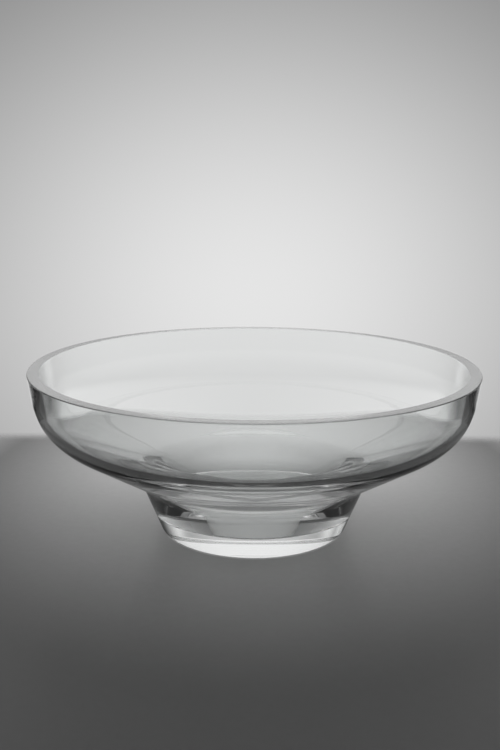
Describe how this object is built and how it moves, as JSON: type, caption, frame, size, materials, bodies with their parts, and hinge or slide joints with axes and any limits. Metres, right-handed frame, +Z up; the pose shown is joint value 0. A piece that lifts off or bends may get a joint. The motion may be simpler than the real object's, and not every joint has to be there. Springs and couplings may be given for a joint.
{
  "type": "footed floating candle bowl",
  "caption": "Thick clear glass bowl for floating candles: wide dish with a flat ground rim, a hollow tapered stem and a solid glass foot.",
  "frame": {"origin": "centre of the foot, on the plane that the bowl stands on", "axes": "+Z up along the axis of revolution; the bowl is the same in every direction about it"},
  "size_m": [0.2538, 0.2538, 0.096],
  "materials": {
    "clear_glass": "polished clear soda-lime glass, with a flat ground and fine-polished rim and a ground ring under the foot"
  },
  "bodies": {
    "root": {"bowl": "clear_glass", "foot": "clear_glass"}
  },
  "joints": []
}
